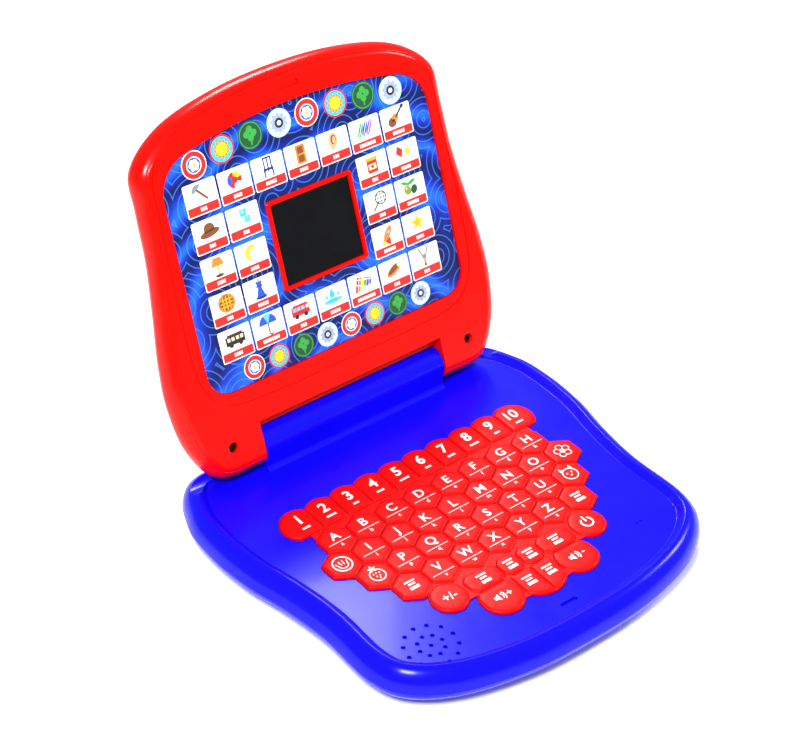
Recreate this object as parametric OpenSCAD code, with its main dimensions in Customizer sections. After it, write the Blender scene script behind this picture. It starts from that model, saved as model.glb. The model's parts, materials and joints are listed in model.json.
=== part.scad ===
// Toy laptop computer: a clamshell case with a hexagonal rubber keypad in the base
// and a picture board with a small screen in the lid.
// X is to the right, Y points to the back, Z is up. The toy stands on its feet at Z = 0.

/* [Layout] */
// Distance between the centres of two neighbouring letter keys
key_pitch = 19; // [18:0.5:20]
// Distance of the hinge axis behind the origin
hinge_y = 62.2; // [55:0.1:70]
// Angle between the lid and the base when the lid rests fully open
open_angle = 112; // [95:1:120]

/* [Base] */
// Height of the rubber feet's top, where the tray's underside is
foot_h = 1.5; // [1:0.1:3]
// Height of the seam between the tray and the deck
seam_z = 14.8; // [13:0.1:16]
// Height of the sunken deck round the keys
deck_z = 23.3; // [22:0.1:24]
// Height of the rim round the deck
rim_z = 26.4; // [25.5:0.1:27]
// Wall thickness of the mouldings
wall = 2.2; // [1.8:0.1:2.6]

/* [Keys] */
// Height of the keys' domed tops
key_top_z = 25.2; // [25:0.1:25.6]
// Gap between neighbouring keys
key_gap = 0.5; // [0.4:0.05:0.7]
// Travel of a key
key_travel = 1; // [0.6:0.1:1.1]

/* [Lid] */
// Height of the lid's front face over the hinge axis
lid_front = 9.1; // [8.8:0.1:9.1]
// Depth of the lid's back face under the hinge axis
lid_back_depth = 8.6; // [8:0.1:9]
// Half the width of the notch that takes the hinge barrel
notch_half_w = 62.3; // [62:0.1:64]

/* [Hidden] */
$fn = 96;

// Heights of the hinge axis, the deck's underside and the layers under the keys
hinge_z = rim_z + 0.3 + lid_front;
deck_under_z = deck_z - wall;
mat_z = 17.9;
mat_h = 1.5;
board_h = 1.6;
// A key's underside stays clear of the sheet at the end of its travel
key_bottom_z = mat_z + mat_h + key_travel + 0.2;
barrel_r = 9.1;
barrel_half_w = 61.7;
pin_r = 3;
pin_clearance = 0.05;
// Line of the letter row A to H
row_a_y = hinge_y - 78.5;
row_step = key_pitch * sqrt(3) / 2;
// A key's centre lies this far behind the line under its letter
key_centre_dy = 2.3;

// Half outlines, from the middle of one end round the right side to the other end.
// Y is measured from the hinge axis.
base_half = [[0, -201.7], [38.8, -199.8], [75.8, -191], [100.3, -175.8], [109.6, -155.5],
    [109.4, -119.4], [112.9, -91.3], [118.2, -66.2], [119.9, -38.5], [116.1, -12.8],
    [100.7, 10.4], [66.5, 12], [0, 12]];
lid_half = [[0, -8.6], [40, -9.2], [66, -10.2], [90.4, -8.2],
    [103.6, 11.4], [108.1, 37.5], [107, 61.6], [103.2, 86.9], [99.4, 115.7], [98.2, 142.5],
    [95.8, 164.4], [74.1, 181.1], [39.1, 189.5], [0, 191.9]];
loop_steps = 4;

// Rounded sections of the mouldings, each as [height, inset from the outline]
deck_section = [[seam_z, 0], [18.5, 0.7], [21.5, 2], [24, 4], [25.7, 6.2], [rim_z, 8.5]];
deck_dish = [[deck_z, 13.5], [deck_z + 1.2, 11.6], [rim_z + 0.2, 9]];
deck_cavity = [[seam_z - 0.1, wall], [18.5, wall + 0.7], [deck_under_z, wall + 2.4]];
tray_section = [[foot_h, 11], [3, 8.2], [5.5, 5.6], [8.5, 2.9], [11.5, 0.8], [seam_z, 0]];
tray_cavity = [[foot_h + wall, 12], [6, 8], [9, 5], [seam_z + 0.1, wall]];
bezel_section = [[0, 0], [3.5, 0.5], [6.3, 2], [8.2, 4.4], [lid_front, 7.5]];
bezel_cavity = [[-0.1, wall], [3.4, wall + 0.7], [5, wall + 3]];
back_section = [[-lid_back_depth, 8.5], [-7.6, 4.6], [-5.2, 1.8], [-2.5, 0.4], [0, 0]];
back_cavity = [[wall - lid_back_depth, 7], [-4, 4], [0.1, wall]];

// Recess for the picture board, in the lid's own plane
panel_half_w = 86.5;
panel_low = 35.6;
panel_top = 172.7;
panel_top_r = 333;
panel_low_corner_r = 14;
panel_top_corner_r = 22;
panel_z = 7;
panel_t = 0.6;
arc_steps = 6;
screen_y = 100.3;
window_w = 52;
window_h = 45.4;
window_rim = 2.3;
window_rim_z = 8.6;

screw_spots = [[40, -184], [97, -95], [92, -10]];
foot_spots = [[84, -150], [90, -22]];
foot_r = 7;
lid_screw_spot = [81.1, 7.45];
speaker_spot = [-75.7, -163.3];
catch_y = 181;
notch_top = 15;
notch_step_z = 2.6;
notch_r = 10.2;

// Battery bay, with Y measured from the hinge axis
bay_half_w = 26.2;
bay_front = -41.5;
bay_back = -7;
bay_top = 15.2;
cell_r = 5.25;
cell_len = 44.5;
cell_z = 9.3;
cell_pitch = 11;
door_front = -49;
door_back = -6;
door_half_w = 27.4;
door_t = 1.8;
door_gap = 0.4;
lug_y = -3.6;
lug_z = 2.7;
lug_r = 1.1;
lug_x = 18;
door_screw_y = -45.3;

// Key places, in key pitches from the midplane and from row A's line
function letter_spot(n) =
    n < 8 ? [n - 3.5, 0]
    : n < 15 ? [n - 11, 1]
    : n < 21 ? [n - 17.5, 2]
    : [n - 23, 3];
function row_y(r) = row_a_y - r * row_step + key_centre_dy;
number_pitch = 16.4;
number_y = row_a_y + 23;
number_r = 11.6;
number_low = 9.2;
round_key_r = 10.2;
round_key_spot = [47.2, row_a_y - 64.8];
row_4_y = row_a_y - 65;
row_5_y = row_a_y - 80;
block_h = 13.2;
wide_x = 24.6;
wide_w = 22;
narrow_x = 6.75;
narrow_w = 13;
volume_x = 25.5;
volume_r = 12;
scallop_r = 16;

function catmull(a, b, c, d, t) =
    0.5 * (2 * b + (c - a) * t + (2 * a - 5 * b + 4 * c - d) * t * t + (3 * b - a - 3 * c + d) * t * t * t);
function mirrored(half) =
    concat(half, [for (i = [len(half) - 1:-1:0]) if (half[i][0] > 0) [-half[i][0], half[i][1]]]);
function smooth_loop(p) = let (n = len(p))
    [for (i = [0:n - 1], k = [0:loop_steps - 1])
        catmull(p[(i + n - 1) % n], p[i], p[(i + 1) % n], p[(i + 2) % n], k / loop_steps)];
function inset_loop(p, d) = let (n = len(p))
    [for (i = [0:n - 1])
        let (t = p[(i + 1) % n] - p[(i + n - 1) % n]) p[i] - d * [t[1], -t[0]] / norm(t)];
function arc(centre, r, from, to) =
    [for (i = [0:arc_steps]) let (a = from + (to - from) * i / arc_steps) centre + r * [cos(a), sin(a)]];

base_loop = [for (p = smooth_loop(mirrored(base_half))) p + [0, hinge_y]];
lid_loop = smooth_loop(mirrored(lid_half));

// Closed solid through the insets of one outline at several heights
module loft(outline, section) {
    n = len(outline);
    top = len(section) - 1;
    points = [for (s = section, p = inset_loop(outline, s[1])) [p[0], p[1], s[0]]];
    sides = [for (k = [0:top - 1], i = [0:n - 1])
        let (j = (i + 1) % n, a = k * n + i, b = k * n + j) each [[a, a + n, b + n], [a, b + n, b]]];
    caps = [[for (i = [0:n - 1]) i], [for (i = [n - 1:-1:0]) top * n + i]];
    polyhedron(points, concat(sides, caps));
}

// Child drawn lying in the lid's own plane, with Z out of the picture side
module in_lid() {
    translate([0, hinge_y, hinge_z]) rotate([180 - open_angle, 0, 0]) children();
}
// Child drawn on the base with Y measured from the hinge axis
module behind() {
    translate([0, hinge_y, 0]) children();
}
module both_sides() {
    children();
    mirror([1, 0, 0]) children();
}
// Cylinder along X, between two distances from the midplane
module x_rod(r, from, to) {
    translate([from, 0, 0]) rotate([0, 90, 0]) cylinder(r = r, h = to - from);
}
// Round rod with a ball at its far end, between any two points
module rod(a, b, r) {
    d = b - a;
    translate(a)
        rotate([0, acos(d[2] / norm(d)), atan2(d[1], d[0])])
            cylinder(r = r, h = norm(d));
    translate(b) sphere(r = r);
}
module slot(length, width, h) {
    translate([-(length - width) / 2, -width / 2, 0]) cube([length - width, width, h]);
    for (s = [-1, 1]) translate([s * (length - width) / 2, 0, 0]) cylinder(d = width, h = h);
}

// Key outlines, each grown by an amount on all sides
module hex_outline(grow) {
    rotate(90) circle(r = (key_pitch - key_gap + 2 * grow) / sqrt(3), $fn = 6);
}
module number_outline(grow) {
    intersection() {
        circle(r = number_r + grow);
        translate([-(number_pitch - key_gap) / 2 - grow, -number_low - grow])
            square([number_pitch - key_gap + 2 * grow, number_r + number_low + 3 * grow]);
    }
}
module end_number_outline(grow) {
    intersection() {
        circle(r = number_r + grow);
        translate([-number_r - grow, -number_low - grow])
            square([number_r + (number_pitch - key_gap) / 2 + 2 * grow, number_r + number_low + 3 * grow]);
    }
}
module block_outline(w, h, grow) {
    cut = 3;
    x = w / 2 + grow;
    y = h / 2 + grow;
    polygon([[-x, -y + cut], [-x + cut, -y], [x - cut, -y], [x, -y + cut],
        [x, y - cut], [x - cut, y], [-x + cut, y], [-x, y - cut]]);
}

// Rubber key: an outline with a domed top
module key_solid(bottom) {
    dome_r = 55;
    intersection() {
        translate([0, 0, bottom]) linear_extrude(key_top_z - bottom) children();
        translate([0, 0, key_top_z - dome_r]) sphere(r = dome_r, $fn = 160);
    }
}
module at_letter(n) {
    s = letter_spot(n);
    translate([s[0] * key_pitch, row_y(s[1]), 0]) children();
}
module at_number(n) {
    translate([(n - 5.5) * number_pitch, number_y, 0]) children();
}
module number_shape(n, grow) {
    if (n == 1) end_number_outline(grow);
    else if (n == 10) mirror([1, 0]) end_number_outline(grow);
    else number_outline(grow);
}
// Fixed keys: [x, y, kind] with kind 0 for a hexagon, 1 for the round end, 2 and 3 for blocks
// and 4 and 5 for the left and right halves of the scallop at the front
fixed_keys = concat(
    [for (s = [-1, 1]) each [[s * 4 * key_pitch, row_y(1), 0], [s * 3.5 * key_pitch, row_y(2), 0],
        [s * 3 * key_pitch, row_y(3), 0], [s * wide_x, row_4_y, 3], [s * narrow_x, row_4_y, 2],
        [s * narrow_x, row_5_y, s < 0 ? 4 : 5]]],
    [[-round_key_spot[0], round_key_spot[1], 1]]);
module scallop_outline(side, grow) {
    intersection() {
        translate([-side * narrow_x, 3]) circle(r = scallop_r + grow);
        translate([-narrow_w / 2 - grow, -14 - grow]) square([narrow_w + 2 * grow, 21.6 + 2 * grow]);
    }
}
module fixed_outline(kind, grow) {
    if (kind == 0) hex_outline(grow);
    if (kind == 1) circle(r = round_key_r + grow);
    if (kind == 2) block_outline(narrow_w, block_h, grow);
    if (kind == 3) block_outline(wide_w, block_h, grow);
    if (kind == 4) scallop_outline(-1, grow);
    if (kind == 5) scallop_outline(1, grow);
}
module volume_outline(grow) {
    intersection() {
        circle(r = volume_r + grow);
        translate([-11.6 - grow, -13 - grow]) square([24 + 2 * grow, 20.6 + 2 * grow]);
    }
}
// All the key outlines together
module keypad_outline(grow) {
    for (n = [0:25]) at_letter(n) hex_outline(grow);
    for (n = [1:10]) at_number(n) number_shape(n, grow);
    for (k = fixed_keys) translate([k[0], k[1]]) fixed_outline(k[2], grow);
    translate(round_key_spot) fixed_outline(1, grow);
    translate([volume_x, row_5_y]) mirror([1, 0]) volume_outline(grow);
    translate([-volume_x, row_5_y]) volume_outline(grow);
    // Valleys between the number row, the letter rows and the lower rows
    translate([0, row_a_y + 10.5]) square([150, 8], center = true);
    translate([0, row_a_y - 61]) square([101, 22], center = true);
    translate([0, row_5_y]) square([51, 16], center = true);
}
module key_letter(n) {
    color("red") at_letter(n) key_solid(key_bottom_z) hex_outline(0);
}
module key_number(n) {
    color("red") at_number(n) key_solid(key_bottom_z) number_shape(n, 0);
}
module key_power() {
    color("red") translate(round_key_spot) key_solid(key_bottom_z) fixed_outline(1, 0);
}
module key_volume_up() {
    color("red") translate([-volume_x, row_5_y, 0]) key_solid(key_bottom_z) volume_outline(0);
}
module key_volume_down() {
    color("red") translate([volume_x, row_5_y, 0]) key_solid(key_bottom_z) mirror([1, 0]) volume_outline(0);
}

// Thirteen keys that stay part of the rubber sheet in this model
module mode_keys() {
    color("red")
        for (k = fixed_keys)
            translate([k[0], k[1], 0]) key_solid(mat_z + mat_h) fixed_outline(k[2], 0);
}

module valley() {
    polygon([[-8.2, 0], [0, -4.7], [8.2, 0]]);
}
// Rubber sheet that carries the keys, with small fillers in the valleys between rows
module keypad_mat() {
    filler_h = 5.6;
    color("firebrick") {
        translate([0, 0, mat_z]) linear_extrude(mat_h) keypad_outline(2.4);
        translate([0, 0, mat_z])
            for (x = [-3:3])
                translate([x * key_pitch, row_a_y + 13.1]) linear_extrude(filler_h) valley();
        translate([0, 0, mat_z])
            for (x = [-1.5:1.5])
                translate([x * key_pitch, row_a_y - 57.9]) linear_extrude(filler_h) mirror([0, 1]) valley();
    }
}

// Section of the hinge barrel and the hollow inside it, as an outline in Y and Z
module barrel_outline(r, foot) {
    translate([0, hinge_z]) circle(r = r);
    polygon([[-r, hinge_z], [-r - foot * 0.3, deck_z + 4.5], [-r - foot, deck_z - 0.5],
        [-r, deck_under_z - 4], [r, deck_under_z - 4], [r, hinge_z]]);
}
module barrel_bar(r, foot, half_w) {
    behind() translate([-half_w, 0, 0])
        rotate([90, 0, 90]) linear_extrude(2 * half_w) barrel_outline(r, foot);
}

// Upper half of the base: rim, sunken deck, hinge barrel and screw posts
module deck_shell() {
    color("blue") difference() {
        union() {
            difference() {
                loft(base_loop, deck_section);
                loft(base_loop, deck_dish);
                loft(base_loop, deck_cavity);
            }
            intersection() {
                barrel_bar(barrel_r, 3.2, barrel_half_w);
                translate([-100, hinge_y - 20, seam_z]) cube([200, 31, 40]);
            }
            behind() both_sides() for (s = screw_spots)
                translate([s[0], s[1], 9]) cylinder(r = 3.6, h = deck_under_z - 8.5);
            for (s = [[-1.63, 2.58], [3.74, -4.19]], dx = [-1.4, 1.4])
                translate([s[0] * key_pitch + dx, row_a_y + s[1] * key_pitch, deck_z - 0.2])
                    cylinder(r = 0.6, h = 0.7);
        }
        difference() {
            barrel_bar(barrel_r - wall, 0, barrel_half_w - wall);
            translate([0, hinge_y, hinge_z]) both_sides() x_rod(5.2, 50, barrel_half_w);
        }
        translate([0, hinge_y, hinge_z]) both_sides() {
            x_rod(pin_r + pin_clearance, 49, barrel_half_w + 1);
            x_rod(11.2, barrel_half_w, 108);
            x_rod(12.6, barrel_half_w, 76);
        }
        translate([0, 0, deck_under_z - 0.5]) linear_extrude(wall + 1) keypad_outline(0.6);
        behind() {
            translate([speaker_spot[0], speaker_spot[1], deck_under_z - 1]) {
                cylinder(r = 1.25, h = 4);
                for (a = [0:45:315]) rotate(a) translate([7, 0, 0]) cylinder(r = 1.25, h = 4);
                for (a = [0:30:330]) rotate(a) translate([14, 0, 0]) cylinder(r = 1.25, h = 4);
            }
            translate([0, -catch_y, deck_under_z - 1]) slot(11, 2.6, 4);
            both_sides() for (s = screw_spots) translate([s[0], s[1], 8]) cylinder(r = 1.3, h = 10);
        }
    }
}

// Lower half of the base with the battery bay
module base_tray() {
    color("mediumblue") difference() {
        union() {
            difference() {
                loft(base_loop, tray_section);
                loft(base_loop, tray_cavity);
            }
            behind() {
                translate([-bay_half_w - 1.6, bay_front - 1.6, foot_h])
                    cube([2 * bay_half_w + 3.2, bay_back - bay_front + 3.2, bay_top + 1.6 - foot_h]);
                translate([0, door_screw_y, 3]) cylinder(r = 3.5, h = 6);
                both_sides() for (s = screw_spots) translate([s[0], s[1], 2.5]) cylinder(r = 5, h = 6.5);
            }
        }
        behind() {
            translate([-bay_half_w, bay_front, 0])
                cube([2 * bay_half_w, bay_back - bay_front, bay_top]);
            translate([-door_half_w - door_gap, door_front - door_gap, 0])
                cube([2 * (door_half_w + door_gap), door_back - door_front + 2 * door_gap,
                    foot_h + door_t + 0.1]);
            both_sides() translate([lug_x - 4.5, door_back, 0]) cube([9, 4.6, 5]);
            translate([0, door_screw_y, 0]) cylinder(r = 1.7, h = 8);
            both_sides() {
                for (s = screw_spots) translate([s[0], s[1], 0]) {
                    cylinder(r = 1.6, h = 12);
                    cylinder(r = 3.3, h = 6);
                }
                for (s = foot_spots) translate([s[0], s[1], 0]) cylinder(r = foot_r, h = foot_h + 0.6);
            }
        }
    }
}

module rubber_feet() {
    color("dimgray") behind() both_sides()
        for (s = foot_spots) translate([s[0], s[1], 0]) cylinder(r = foot_r, h = foot_h + 0.6);
}

// Cross-headed screw with its head at the bottom
module screw(head_r, shank_r, length) {
    head_h = 1.5;
    difference() {
        union() {
            cylinder(r = head_r, h = head_h);
            cylinder(r = shank_r, h = length);
        }
        for (a = [0, 90]) rotate(a) translate([-1.5, -0.35, -0.1]) cube([3, 0.7, 1]);
    }
}
module base_screws() {
    color("silver") behind() both_sides()
        for (s = screw_spots) translate([s[0], s[1], 4.5]) screw(2.8, 1.3, 12.5);
}

module key_board() {
    color("green") translate([0, 0, mat_z - board_h]) behind() linear_extrude(board_h)
        polygon([[-84, -45.5], [84, -45.5], [88, -100], [62, -145], [36, -168], [-36, -168],
            [-52, -146], [-88, -100]]);
    color("black") behind() {
        translate([20, -80, mat_z - board_h - 1.4]) cylinder(r = 7, h = 1.4);
        translate([-30, -110, mat_z - board_h - 1.2]) cube([12, 8, 1.2]);
    }
}

module speaker() {
    color("dimgray") behind() translate([speaker_spot[0], speaker_spot[1], 0]) {
        translate([0, 0, deck_under_z - 2]) cylinder(r = 18, h = 2);
        translate([0, 0, deck_under_z - 6]) cylinder(r1 = 10, r2 = 17, h = 4);
        translate([0, 0, deck_under_z - 9]) cylinder(r = 9, h = 3);
    }
}

// Cover of the battery bay, which tilts open on two lugs at its back edge
module battery_door() {
    color("mediumblue") behind() difference() {
        union() {
            translate([-door_half_w, door_front, foot_h])
                cube([2 * door_half_w, door_back - door_front, door_t]);
            both_sides() {
                translate([lug_x - 3.6, door_back - 2, foot_h + 0.3]) cube([7.2, lug_y - door_back + 2, 1.5]);
                translate([0, lug_y, lug_z]) x_rod(lug_r, lug_x - 3.6, lug_x + 3.6);
            }
        }
        translate([0, door_screw_y, 0]) {
            cylinder(r = 1.4, h = 8);
            cylinder(r = 2.6, h = foot_h + 1);
        }
    }
}
module door_screw() {
    color("silver") behind() translate([0, door_screw_y, foot_h + 0.2]) difference() {
        union() {
            cylinder(r = 2.4, h = 0.8);
            cylinder(r = 1.2, h = 5);
        }
        for (a = [0, 90]) rotate(a) translate([-1.4, -0.3, -0.1]) cube([2.8, 0.6, 0.6]);
    }
}

// Three AAA cells side by side, alternate ends forward
module batteries() {
    color("gold") behind() for (i = [-1:1]) translate([0, (bay_front + bay_back) / 2 + i * cell_pitch, cell_z]) {
        s = i == 0 ? -1 : 1;
        x_rod(cell_r, -cell_len / 2 + (s < 0 ? 0.8 : 0), cell_len / 2 - (s > 0 ? 0.8 : 0));
        if (s > 0) x_rod(1.9, cell_len / 2 - 0.8, cell_len / 2);
        else x_rod(1.9, -cell_len / 2, -cell_len / 2 + 0.8);
    }
}
module battery_contacts() {
    color("silver") behind() for (i = [-1:1], side = [-1, 1])
        translate([0, (bay_front + bay_back) / 2 + i * cell_pitch, cell_z]) {
            translate([side > 0 ? bay_half_w - 0.6 : -bay_half_w, -4.6, -4.6]) cube([0.6, 9.2, 9.2]);
            if (side > 0) x_rod(2.6, cell_len / 2, bay_half_w - 0.6);
            else x_rod(2.6, -bay_half_w + 0.6, -cell_len / 2);
        }
}

// Wires from the key board to the middle of the hinge barrel
module base_wires() {
    wire_r = 0.8;
    x = -46;
    color("white") behind() {
        rod([x, -48, mat_z - board_h], [x, -48, 13.5], wire_r);
        rod([x, -48, 13.5], [x, 0, 13.5], wire_r);
        rod([x, 0, 13.5], [x, 0, hinge_z], wire_r);
    }
}

// Hollow pins that the lid turns on
module hinge_pins() {
    color("silver") translate([0, hinge_y, hinge_z]) both_sides() difference() {
        x_rod(pin_r, 51, 76);
        x_rod(1.6, 50, 77);
    }
}

// Outline of the picture board: flat foot, straight sides and a bowed top
module panel_outline(inset) {
    w = panel_half_w - inset;
    low_r = panel_low_corner_r - inset;
    top_r = panel_top_r - inset;
    corner_r = panel_top_corner_r - inset;
    bow_y = panel_top - panel_top_r;
    corner_x = w - corner_r;
    corner_y = bow_y + sqrt(pow(top_r - corner_r, 2) - pow(corner_x, 2));
    lean = acos(corner_x / (top_r - corner_r));
    low_y = panel_low + inset + low_r;
    right = concat(arc([w - low_r, low_y], low_r, -90, 0), arc([corner_x, corner_y], corner_r, 0, lean),
        arc([0, bow_y], top_r, lean + 1, 90));
    polygon(mirrored(right));
}
// Room for the hinge barrel: open in front, and hugging the barrel behind
module notch(grow) {
    w = 2 * (notch_half_w + grow);
    translate([-w / 2, 0, 0]) {
        translate([0, -30, notch_step_z - grow]) cube([w, 30 + notch_top + grow, 30]);
        translate([0, -30, -20]) cube([w, 30, 40]);
        rotate([0, 90, 0]) cylinder(r = notch_r + grow, h = w);
    }
}
module lid_screw_post(r, from, to) {
    both_sides() translate([lid_screw_spot[0], lid_screw_spot[1], from]) cylinder(r = r, h = to - from);
}
// Half of the lid as one hollow moulding with a walled notch. The resize keeps it a single mesh.
module lid_moulding(section, cavity) {
    resize([0, 0, 0]) difference() {
        loft(lid_loop, section);
        difference() {
            loft(lid_loop, cavity);
            notch(wall);
        }
        notch(0);
    }
}

// Front of the lid, with the recess for the picture board and the screen's raised rim
module lid_bezel() {
    color("red") in_lid() difference() {
        union() {
            difference() {
                lid_moulding(bezel_section, bezel_cavity);
                translate([0, 0, panel_z]) linear_extrude(5) panel_outline(0);
            }
            translate([-window_w / 2 - window_rim, screen_y - window_h / 2 - window_rim, 5])
                cube([window_w + 2 * window_rim, window_h + 2 * window_rim, window_rim_z - 5]);
            lid_screw_post(4.2, 0, 6);
            intersection() {
                both_sides() x_rod(5.4, notch_half_w, 77);
                translate([-100, -20, 0]) cube([200, 40, 6]);
            }
        }
        translate([-window_w / 2, screen_y - window_h / 2, 0]) cube([window_w, window_h, 20]);
        both_sides() x_rod(pin_r, notch_half_w - 1, 78);
        lid_screw_post(1.5, -1, 12);
        lid_screw_post(2.9, 5.6, 12);
        translate([0, catch_y, lid_front - 1.2]) slot(14.5, 3.4, 3);
    }
}
module lid_back() {
    color("crimson") in_lid() difference() {
        union() {
            lid_moulding(back_section, back_cavity);
            lid_screw_post(3.4, wall - lid_back_depth - 0.5, 0);
            intersection() {
                both_sides() x_rod(5.4, notch_half_w, 77);
                translate([-100, -20, -6]) cube([200, 40, 6]);
            }
        }
        both_sides() x_rod(pin_r, notch_half_w - 1, 78);
        lid_screw_post(1.25, -5.5, 1);
    }
}
module lid_screws() {
    color("silver") in_lid() both_sides()
        translate([lid_screw_spot[0], lid_screw_spot[1], 7.1]) rotate([180, 0, 0]) screw(2.6, 1.25, 11);
}

module picture_panel() {
    color("navy") in_lid() translate([0, 0, panel_z]) linear_extrude(panel_t) difference() {
        panel_outline(0.3);
        translate([0, screen_y])
            square([window_w + 2 * window_rim + 0.6, window_h + 2 * window_rim + 0.6], center = true);
    }
}
module screen_lens() {
    color("black") in_lid() translate([0, screen_y, 6.4]) cube([window_w - 0.4, window_h - 0.4, 1.6], center = true);
}
module lcd_module() {
    in_lid() translate([0, screen_y, 0]) {
        color("green") translate([0, 0, 2.8]) cube([66, 60, 1.6], center = true);
        color("dimgray") translate([0, 0, 4.3]) cube([58, 52, 1.4], center = true);
    }
}
// Wires from inside the left hinge pin to the screen
module lid_wires() {
    wire_r = 0.8;
    color("white") in_lid() {
        rod([-47.2, 0, 0], [-92, 0, 0], wire_r);
        rod([-92, 0, 0], [-92, 86, 0], wire_r);
        rod([-92, 86, 0], [-30, 86, 0], wire_r);
        rod([-30, 86, 0], [-30, 86, 1.1], wire_r);
    }
}

deck_shell();
base_tray();
keypad_mat();
mode_keys();
key_board();
speaker();
battery_door();
door_screw();
batteries();
battery_contacts();
rubber_feet();
base_screws();
base_wires();
hinge_pins();
lid_bezel();
lid_back();
picture_panel();
screen_lens();
lcd_module();
lid_screws();
lid_wires();
for (n = [1:10]) key_number(n);
for (n = [0:25]) key_letter(n);
key_power();
key_volume_up();
key_volume_down();
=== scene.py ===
# Toy laptop computer: glossy blue base, red silicone keypad and a red lid with a picture board.
# Lengths in the dictionaries are in millimetres. Points on the base have Y measured from the
# hinge, and points on the lid lie in the lid's own plane, with Y up the lid from the hinge.
import json
import math

import bpy
from mathutils import Matrix, Vector


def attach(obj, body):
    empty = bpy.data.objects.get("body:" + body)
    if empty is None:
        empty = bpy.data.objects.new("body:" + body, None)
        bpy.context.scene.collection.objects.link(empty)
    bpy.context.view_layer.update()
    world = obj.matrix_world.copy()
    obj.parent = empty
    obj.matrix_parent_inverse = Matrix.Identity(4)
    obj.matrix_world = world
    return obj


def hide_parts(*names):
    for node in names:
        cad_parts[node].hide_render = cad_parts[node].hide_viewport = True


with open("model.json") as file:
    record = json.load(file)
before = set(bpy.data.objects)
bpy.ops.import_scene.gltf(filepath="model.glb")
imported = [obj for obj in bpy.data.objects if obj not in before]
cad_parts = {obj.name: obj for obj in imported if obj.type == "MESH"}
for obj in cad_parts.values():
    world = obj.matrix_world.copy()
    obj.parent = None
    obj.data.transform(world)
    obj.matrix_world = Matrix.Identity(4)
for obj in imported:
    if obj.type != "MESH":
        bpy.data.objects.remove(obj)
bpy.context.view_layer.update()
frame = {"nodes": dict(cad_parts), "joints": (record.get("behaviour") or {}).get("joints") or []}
scene = bpy.context.scene
scene.view_settings.view_transform = "Standard"  # keeps the toy's strong colours as strong as they are
mm = 0.001

lidJoint = next(joint for joint in frame["joints"] if joint["name"] == "lid_hinge")
hinge = Vector(lidJoint["pos_m"])
lidTilt = math.pi - math.radians(lidJoint["range_deg"][1])
onBase = Matrix.Translation((0, hinge.y, 0))
onLid = Matrix.Translation(hinge) @ Matrix.Rotation(lidTilt, 4, "X")


def letGo():
    if bpy.context.object and bpy.context.object.mode != "OBJECT":
        bpy.ops.object.mode_set(mode="OBJECT")
    bpy.ops.object.select_all(action="DESELECT")


def takeHold(*pieces):
    letGo()
    for piece in pieces:
        piece.select_set(True)
    bpy.context.view_layer.objects.active = pieces[0]


def joined(pieces, name):
    takeHold(*pieces)
    bpy.ops.object.join()
    whole = bpy.context.object
    whole.name = whole.data.name = name
    return whole


def place(piece, matrix):
    piece.data.transform(matrix)
    piece.data.update()
    return piece


def modify(piece, kind, **settings):
    takeHold(piece)
    modifier = piece.modifiers.new(kind.title(), kind)
    for name, value in settings.items():
        setattr(modifier, name, value)
    bpy.ops.object.modifier_apply(modifier=modifier.name)


def carve(piece, tool, operation="DIFFERENCE", crossing=False):
    modify(piece, "BOOLEAN", object=tool, operation=operation, solver="EXACT", use_self=crossing)
    bpy.data.objects.remove(tool)


def smooth(piece, angle=32):
    takeHold(piece)
    bpy.ops.object.shade_smooth_by_angle(angle=math.radians(angle))
    modify(piece, "WEIGHTED_NORMAL", keep_sharp=True, weight=80)


def giveFinish(piece, material):
    piece.data.materials.clear()
    piece.data.materials.append(material)


def face(points, height=0, up=True, name="face"):
    # a filled circle whose vertices are moved on to the outline
    letGo()
    bpy.ops.mesh.primitive_circle_add(vertices=len(points), radius=1, fill_type="NGON")
    piece = bpy.context.object
    piece.name = piece.data.name = name
    for vertex, point in zip(piece.data.vertices, points):
        vertex.co = (point[0] * mm, point[1] * mm, height * mm)
    piece.data.update()
    if (piece.data.polygons[0].normal.z > 0) != up:
        takeHold(piece)
        bpy.ops.object.mode_set(mode="EDIT")
        bpy.ops.mesh.select_all(action="SELECT")
        bpy.ops.mesh.flip_normals()
        bpy.ops.object.mode_set(mode="OBJECT")
    return piece


def insetLoop(points, d):
    n = len(points)
    moved = []
    for i, (x, y) in enumerate(points):
        tx, ty = points[(i + 1) % n][0] - points[i - 1][0], points[(i + 1) % n][1] - points[i - 1][1]
        moved.append((x - d * ty / math.hypot(tx, ty), y + d * tx / math.hypot(tx, ty)))
    return moved


def stepIn(piece, section):
    # section is a list of (inset from the outline, height over the start), walked with insets
    takeHold(piece)
    bpy.ops.object.mode_set(mode="EDIT")
    bpy.ops.mesh.select_mode(type="FACE")
    bpy.ops.mesh.select_all(action="SELECT")
    direction = 1 if piece.data.polygons[0].normal.z > 0 else -1
    for (inset0, height0), (inset1, height1) in zip(section, section[1:]):
        inward, rise = (inset1 - inset0) * mm, (height1 - height0) * mm
        if inward < 1e-6:
            move = {"value": (0, 0, rise * direction)}
            bpy.ops.mesh.extrude_region_move(TRANSFORM_OT_translate=move)
        else:
            bpy.ops.mesh.inset(thickness=inward, depth=rise, use_even_offset=True)
    bpy.ops.object.mode_set(mode="OBJECT")
    return piece


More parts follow.
